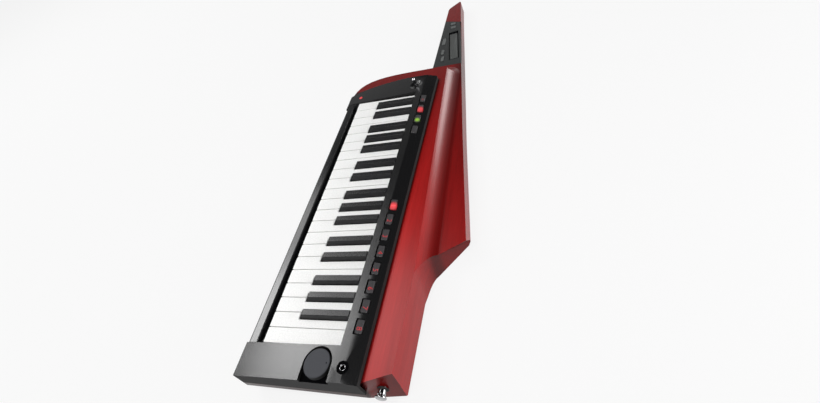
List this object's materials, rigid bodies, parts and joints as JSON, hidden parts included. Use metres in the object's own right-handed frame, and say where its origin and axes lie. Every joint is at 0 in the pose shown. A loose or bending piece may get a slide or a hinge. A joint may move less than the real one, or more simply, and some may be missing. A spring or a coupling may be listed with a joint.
{
  "type": "keytar",
  "caption": "Keyboard instrument worn on a strap: stained wood body with a horn and a neck, small piano keys, touch ribbons, lit buttons, a knob and a toggle",
  "frame": {"origin": "under the middle of the instrument's outline, on the plane that its back rests on", "axes": "+X from the neck tip to the strap pin at the high end, +Y from the front of the keys to the horn, +Z out of the front, up through the keys"},
  "size_m": [0.8358, 0.2604, 0.071],
  "materials": {
    "stained_wood": "transparent red stain over bold grain under clear lacquer",
    "panel_black": "smooth black with a soft sheen",
    "back_plastic": "fine matte texture",
    "chassis_plastic": "plain moulded",
    "key_white": "polished ivory white",
    "key_black": "satin black",
    "button_smoke": "smoky translucent cap lit from below",
    "button_rubber": "satin dark grey",
    "ribbon_film": "smooth semi-gloss film",
    "knob_plastic": "satin dark blue-grey",
    "chrome": "polished"
  },
  "bodies": {
    "body": {"wood_body": "stained_wood", "back_cover": "back_plastic", "key_frame": "chassis_plastic", "front_panel": "panel_black", "long_ribbon": "ribbon_film", "neck_panel": "panel_black"},
    "key_01_c": {"key_01_c": "key_white"},
    "key_02_c_sharp": {"key_02_c_sharp": "key_black"},
    "key_03_d": {"key_03_d": "key_white"},
    "key_04_d_sharp": {"key_04_d_sharp": "key_black"},
    "key_05_e": {"key_05_e": "key_white"},
    "key_06_f": {"key_06_f": "key_white"},
    "key_07_f_sharp": {"key_07_f_sharp": "key_black"},
    "key_08_g": {"key_08_g": "key_white"},
    "key_09_g_sharp": {"key_09_g_sharp": "key_black"},
    "key_10_a": {"key_10_a": "key_white"},
    "key_11_a_sharp": {"key_11_a_sharp": "key_black"},
    "key_12_b": {"key_12_b": "key_white"},
    "key_13_c": {"key_13_c": "key_white"},
    "key_14_c_sharp": {"key_14_c_sharp": "key_black"},
    "key_15_d": {"key_15_d": "key_white"},
    "key_16_d_sharp": {"key_16_d_sharp": "key_black"},
    "key_17_e": {"key_17_e": "key_white"},
    "key_18_f": {"key_18_f": "key_white"},
    "key_19_f_sharp": {"key_19_f_sharp": "key_black"},
    "key_20_g": {"key_20_g": "key_white"},
    "key_21_g_sharp": {"key_21_g_sharp": "key_black"},
    "key_22_a": {"key_22_a": "key_white"},
    "key_23_a_sharp": {"key_23_a_sharp": "key_black"},
    "key_24_b": {"key_24_b": "key_white"},
    "key_25_c": {"key_25_c": "key_white"},
    "key_26_c_sharp": {"key_26_c_sharp": "key_black"},
    "key_27_d": {"key_27_d": "key_white"},
    "key_28_d_sharp": {"key_28_d_sharp": "key_black"},
    "key_29_e": {"key_29_e": "key_white"},
    "key_30_f": {"key_30_f": "key_white"},
    "key_31_f_sharp": {"key_31_f_sharp": "key_black"},
    "key_32_g": {"key_32_g": "key_white"},
    "key_33_g_sharp": {"key_33_g_sharp": "key_black"},
    "key_34_a": {"key_34_a": "key_white"},
    "key_35_a_sharp": {"key_35_a_sharp": "key_black"},
    "key_36_b": {"key_36_b": "key_white"},
    "key_37_c": {"key_37_c": "key_white"},
    "function_button_1": {"function_button_1": "button_smoke"},
    "function_button_2": {"function_button_2": "button_smoke"},
    "function_button_3": {"function_button_3": "button_smoke"},
    "function_button_4": {"function_button_4": "button_smoke"},
    "favourite_button_1": {"favourite_button_1": "button_smoke"},
    "favourite_button_2": {"favourite_button_2": "button_smoke"},
    "favourite_button_3": {"favourite_button_3": "button_smoke"},
    "favourite_button_4": {"favourite_button_4": "button_smoke"},
    "favourite_button_5": {"favourite_button_5": "button_smoke"},
    "favourite_button_6": {"favourite_button_6": "button_smoke"},
    "favourite_button_7": {"favourite_button_7": "button_smoke"},
    "favourite_button_8": {"favourite_button_8": "button_smoke"},
    "arpeggio_button": {"arpeggio_button": "button_rubber"},
    "value_rocker": {"value_rocker": "button_rubber"},
    "octave_rocker": {"octave_rocker": "button_rubber"},
    "volume_knob": {"volume_knob": "knob_plastic"},
    "toggle_lever": {"toggle_lever": "chrome"}
  },
  "joints": [
    {"name": "key_01_c_press", "type": "hinge", "parent": "body", "child": "key_01_c", "pos_m": [0.14872, 0.02834, 0.036], "axis": [1, 0, 0], "range_deg": [0, 3], "stiffness_Nm_per_rad": 0.45, "springref_deg": -4.58},
    {"name": "key_02_c_sharp_press", "type": "hinge", "parent": "body", "child": "key_02_c_sharp", "pos_m": [0.14872, 0.02834, 0.036], "axis": [1, 0, 0], "range_deg": [0, 3], "stiffness_Nm_per_rad": 0.45, "springref_deg": -4.58},
    {"name": "key_03_d_press", "type": "hinge", "parent": "body", "child": "key_03_d", "pos_m": [0.14872, 0.02834, 0.036], "axis": [1, 0, 0], "range_deg": [0, 3], "stiffness_Nm_per_rad": 0.45, "springref_deg": -4.58},
    {"name": "key_04_d_sharp_press", "type": "hinge", "parent": "body", "child": "key_04_d_sharp", "pos_m": [0.14872, 0.02834, 0.036], "axis": [1, 0, 0], "range_deg": [0, 3], "stiffness_Nm_per_rad": 0.45, "springref_deg": -4.58},
    {"name": "key_05_e_press", "type": "hinge", "parent": "body", "child": "key_05_e", "pos_m": [0.14872, 0.02834, 0.036], "axis": [1, 0, 0], "range_deg": [0, 3], "stiffness_Nm_per_rad": 0.45, "springref_deg": -4.58},
    {"name": "key_06_f_press", "type": "hinge", "parent": "body", "child": "key_06_f", "pos_m": [0.14872, 0.02834, 0.036], "axis": [1, 0, 0], "range_deg": [0, 3], "stiffness_Nm_per_rad": 0.45, "springref_deg": -4.58},
    {"name": "key_07_f_sharp_press", "type": "hinge", "parent": "body", "child": "key_07_f_sharp", "pos_m": [0.14872, 0.02834, 0.036], "axis": [1, 0, 0], "range_deg": [0, 3], "stiffness_Nm_per_rad": 0.45, "springref_deg": -4.58},
    {"name": "key_08_g_press", "type": "hinge", "parent": "body", "child": "key_08_g", "pos_m": [0.14872, 0.02834, 0.036], "axis": [1, 0, 0], "range_deg": [0, 3], "stiffness_Nm_per_rad": 0.45, "springref_deg": -4.58},
    {"name": "key_09_g_sharp_press", "type": "hinge", "parent": "body", "child": "key_09_g_sharp", "pos_m": [0.14872, 0.02834, 0.036], "axis": [1, 0, 0], "range_deg": [0, 3], "stiffness_Nm_per_rad": 0.45, "springref_deg": -4.58},
    {"name": "key_10_a_press", "type": "hinge", "parent": "body", "child": "key_10_a", "pos_m": [0.14872, 0.02834, 0.036], "axis": [1, 0, 0], "range_deg": [0, 3], "stiffness_Nm_per_rad": 0.45, "springref_deg": -4.58},
    {"name": "key_11_a_sharp_press", "type": "hinge", "parent": "body", "child": "key_11_a_sharp", "pos_m": [0.14872, 0.02834, 0.036], "axis": [1, 0, 0], "range_deg": [0, 3], "stiffness_Nm_per_rad": 0.45, "springref_deg": -4.58},
    {"name": "key_12_b_press", "type": "hinge", "parent": "body", "child": "key_12_b", "pos_m": [0.14872, 0.02834, 0.036], "axis": [1, 0, 0], "range_deg": [0, 3], "stiffness_Nm_per_rad": 0.45, "springref_deg": -4.58},
    {"name": "key_13_c_press", "type": "hinge", "parent": "body", "child": "key_13_c", "pos_m": [0.14872, 0.02834, 0.036], "axis": [1, 0, 0], "range_deg": [0, 3], "stiffness_Nm_per_rad": 0.45, "springref_deg": -4.58},
    {"name": "key_14_c_sharp_press", "type": "hinge", "parent": "body", "child": "key_14_c_sharp", "pos_m": [0.14872, 0.02834, 0.036], "axis": [1, 0, 0], "range_deg": [0, 3], "stiffness_Nm_per_rad": 0.45, "springref_deg": -4.58},
    {"name": "key_15_d_press", "type": "hinge", "parent": "body", "child": "key_15_d", "pos_m": [0.14872, 0.02834, 0.036], "axis": [1, 0, 0], "range_deg": [0, 3], "stiffness_Nm_per_rad": 0.45, "springref_deg": -4.58},
    {"name": "key_16_d_sharp_press", "type": "hinge", "parent": "body", "child": "key_16_d_sharp", "pos_m": [0.14872, 0.02834, 0.036], "axis": [1, 0, 0], "range_deg": [0, 3], "stiffness_Nm_per_rad": 0.45, "springref_deg": -4.58},
    {"name": "key_17_e_press", "type": "hinge", "parent": "body", "child": "key_17_e", "pos_m": [0.14872, 0.02834, 0.036], "axis": [1, 0, 0], "range_deg": [0, 3], "stiffness_Nm_per_rad": 0.45, "springref_deg": -4.58},
    {"name": "key_18_f_press", "type": "hinge", "parent": "body", "child": "key_18_f", "pos_m": [0.14872, 0.02834, 0.036], "axis": [1, 0, 0], "range_deg": [0, 3], "stiffness_Nm_per_rad": 0.45, "springref_deg": -4.58},
    {"name": "key_19_f_sharp_press", "type": "hinge", "parent": "body", "child": "key_19_f_sharp", "pos_m": [0.14872, 0.02834, 0.036], "axis": [1, 0, 0], "range_deg": [0, 3], "stiffness_Nm_per_rad": 0.45, "springref_deg": -4.58},
    {"name": "key_20_g_press", "type": "hinge", "parent": "body", "child": "key_20_g", "pos_m": [0.14872, 0.02834, 0.036], "axis": [1, 0, 0], "range_deg": [0, 3], "stiffness_Nm_per_rad": 0.45, "springref_deg": -4.58},
    {"name": "key_21_g_sharp_press", "type": "hinge", "parent": "body", "child": "key_21_g_sharp", "pos_m": [0.14872, 0.02834, 0.036], "axis": [1, 0, 0], "range_deg": [0, 3], "stiffness_Nm_per_rad": 0.45, "springref_deg": -4.58},
    {"name": "key_22_a_press", "type": "hinge", "parent": "body", "child": "key_22_a", "pos_m": [0.14872, 0.02834, 0.036], "axis": [1, 0, 0], "range_deg": [0, 3], "stiffness_Nm_per_rad": 0.45, "springref_deg": -4.58},
    {"name": "key_23_a_sharp_press", "type": "hinge", "parent": "body", "child": "key_23_a_sharp", "pos_m": [0.14872, 0.02834, 0.036], "axis": [1, 0, 0], "range_deg": [0, 3], "stiffness_Nm_per_rad": 0.45, "springref_deg": -4.58},
    {"name": "key_24_b_press", "type": "hinge", "parent": "body", "child": "key_24_b", "pos_m": [0.14872, 0.02834, 0.036], "axis": [1, 0, 0], "range_deg": [0, 3], "stiffness_Nm_per_rad": 0.45, "springref_deg": -4.58},
    {"name": "key_25_c_press", "type": "hinge", "parent": "body", "child": "key_25_c", "pos_m": [0.14872, 0.02834, 0.036], "axis": [1, 0, 0], "range_deg": [0, 3], "stiffness_Nm_per_rad": 0.45, "springref_deg": -4.58},
    {"name": "key_26_c_sharp_press", "type": "hinge", "parent": "body", "child": "key_26_c_sharp", "pos_m": [0.14872, 0.02834, 0.036], "axis": [1, 0, 0], "range_deg": [0, 3], "stiffness_Nm_per_rad": 0.45, "springref_deg": -4.58},
    {"name": "key_27_d_press", "type": "hinge", "parent": "body", "child": "key_27_d", "pos_m": [0.14872, 0.02834, 0.036], "axis": [1, 0, 0], "range_deg": [0, 3], "stiffness_Nm_per_rad": 0.45, "springref_deg": -4.58},
    {"name": "key_28_d_sharp_press", "type": "hinge", "parent": "body", "child": "key_28_d_sharp", "pos_m": [0.14872, 0.02834, 0.036], "axis": [1, 0, 0], "range_deg": [0, 3], "stiffness_Nm_per_rad": 0.45, "springref_deg": -4.58},
    {"name": "key_29_e_press", "type": "hinge", "parent": "body", "child": "key_29_e", "pos_m": [0.14872, 0.02834, 0.036], "axis": [1, 0, 0], "range_deg": [0, 3], "stiffness_Nm_per_rad": 0.45, "springref_deg": -4.58},
    {"name": "key_30_f_press", "type": "hinge", "parent": "body", "child": "key_30_f", "pos_m": [0.14872, 0.02834, 0.036], "axis": [1, 0, 0], "range_deg": [0, 3], "stiffness_Nm_per_rad": 0.45, "springref_deg": -4.58},
    {"name": "key_31_f_sharp_press", "type": "hinge", "parent": "body", "child": "key_31_f_sharp", "pos_m": [0.14872, 0.02834, 0.036], "axis": [1, 0, 0], "range_deg": [0, 3], "stiffness_Nm_per_rad": 0.45, "springref_deg": -4.58},
    {"name": "key_32_g_press", "type": "hinge", "parent": "body", "child": "key_32_g", "pos_m": [0.14872, 0.02834, 0.036], "axis": [1, 0, 0], "range_deg": [0, 3], "stiffness_Nm_per_rad": 0.45, "springref_deg": -4.58},
    {"name": "key_33_g_sharp_press", "type": "hinge", "parent": "body", "child": "key_33_g_sharp", "pos_m": [0.14872, 0.02834, 0.036], "axis": [1, 0, 0], "range_deg": [0, 3], "stiffness_Nm_per_rad": 0.45, "springref_deg": -4.58},
    {"name": "key_34_a_press", "type": "hinge", "parent": "body", "child": "key_34_a", "pos_m": [0.14872, 0.02834, 0.036], "axis": [1, 0, 0], "range_deg": [0, 3], "stiffness_Nm_per_rad": 0.45, "springref_deg": -4.58},
    {"name": "key_35_a_sharp_press", "type": "hinge", "parent": "body", "child": "key_35_a_sharp", "pos_m": [0.14872, 0.02834, 0.036], "axis": [1, 0, 0], "range_deg": [0, 3], "stiffness_Nm_per_rad": 0.45, "springref_deg": -4.58},
    {"name": "key_36_b_press", "type": "hinge", "parent": "body", "child": "key_36_b", "pos_m": [0.14872, 0.02834, 0.036], "axis": [1, 0, 0], "range_deg": [0, 3], "stiffness_Nm_per_rad": 0.45, "springref_deg": -4.58},
    {"name": "key_37_c_press", "type": "hinge", "parent": "body", "child": "key_37_c", "pos_m": [0.14872, 0.02834, 0.036], "axis": [1, 0, 0], "range_deg": [0, 3], "stiffness_Nm_per_rad": 0.45, "springref_deg": -4.58},
    {"name": "function_button_1_press", "type": "slide", "parent": "body", "child": "function_button_1", "axis": [0, 0, -1], "range_m": [0, 0.0015], "stiffness_N_per_m": 250, "springref_m": -0.001},
    {"name": "function_button_2_press", "type": "slide", "parent": "body", "child": "function_button_2", "axis": [0, 0, -1], "range_m": [0, 0.0015], "stiffness_N_per_m": 250, "springref_m": -0.001},
    {"name": "function_button_3_press", "type": "slide", "parent": "body", "child": "function_button_3", "axis": [0, 0, -1], "range_m": [0, 0.0015], "stiffness_N_per_m": 250, "springref_m": -0.001},
    {"name": "function_button_4_press", "type": "slide", "parent": "body", "child": "function_button_4", "axis": [0, 0, -1], "range_m": [0, 0.0015], "stiffness_N_per_m": 250, "springref_m": -0.001},
    {"name": "favourite_button_1_press", "type": "slide", "parent": "body", "child": "favourite_button_1", "axis": [0, 0, -1], "range_m": [0, 0.0015], "stiffness_N_per_m": 250, "springref_m": -0.001},
    {"name": "favourite_button_2_press", "type": "slide", "parent": "body", "child": "favourite_button_2", "axis": [0, 0, -1], "range_m": [0, 0.0015], "stiffness_N_per_m": 250, "springref_m": -0.001},
    {"name": "favourite_button_3_press", "type": "slide", "parent": "body", "child": "favourite_button_3", "axis": [0, 0, -1], "range_m": [0, 0.0015], "stiffness_N_per_m": 250, "springref_m": -0.001},
    {"name": "favourite_button_4_press", "type": "slide", "parent": "body", "child": "favourite_button_4", "axis": [0, 0, -1], "range_m": [0, 0.0015], "stiffness_N_per_m": 250, "springref_m": -0.001},
    {"name": "favourite_button_5_press", "type": "slide", "parent": "body", "child": "favourite_button_5", "axis": [0, 0, -1], "range_m": [0, 0.0015], "stiffness_N_per_m": 250, "springref_m": -0.001},
    {"name": "favourite_button_6_press", "type": "slide", "parent": "body", "child": "favourite_button_6", "axis": [0, 0, -1], "range_m": [0, 0.0015], "stiffness_N_per_m": 250, "springref_m": -0.001},
    {"name": "favourite_button_7_press", "type": "slide", "parent": "body", "child": "favourite_button_7", "axis": [0, 0, -1], "range_m": [0, 0.0015], "stiffness_N_per_m": 250, "springref_m": -0.001},
    {"name": "favourite_button_8_press", "type": "slide", "parent": "body", "child": "favourite_button_8", "axis": [0, 0, -1], "range_m": [0, 0.0015], "stiffness_N_per_m": 250, "springref_m": -0.001},
    {"name": "arpeggio_button_press", "type": "slide", "parent": "body", "child": "arpeggio_button", "axis": [0, 0, -1], "range_m": [0, 0.0012], "stiffness_N_per_m": 250, "springref_m": -0.001},
    {"name": "value_rocker_tilt", "type": "hinge", "parent": "body", "child": "value_rocker", "pos_m": [-0.32188, 0.03334, 0.02], "axis": [0, 1, 0], "range_deg": [-2.5, 2.5], "stiffness_Nm_per_rad": 0.1},
    {"name": "octave_rocker_tilt", "type": "hinge", "parent": "body", "child": "octave_rocker", "pos_m": [-0.21688, 0.02664, 0.02], "axis": [0, 1, 0], "range_deg": [-2.5, 2.5], "stiffness_Nm_per_rad": 0.1},
    {"name": "volume_knob_turn", "type": "hinge", "parent": "body", "child": "volume_knob", "pos_m": [0.39531, -0.01446, 0.0503], "axis": [0, 0, 1], "range_deg": [-150, 150]},
    {"name": "toggle_lever_flip", "type": "hinge", "parent": "body", "child": "toggle_lever", "pos_m": [-0.09599, 0.00534, 0.052], "axis": [0, 1, 0], "range_deg": [-12, 12], "stiffness_Nm_per_rad": 0.05}
  ]
}
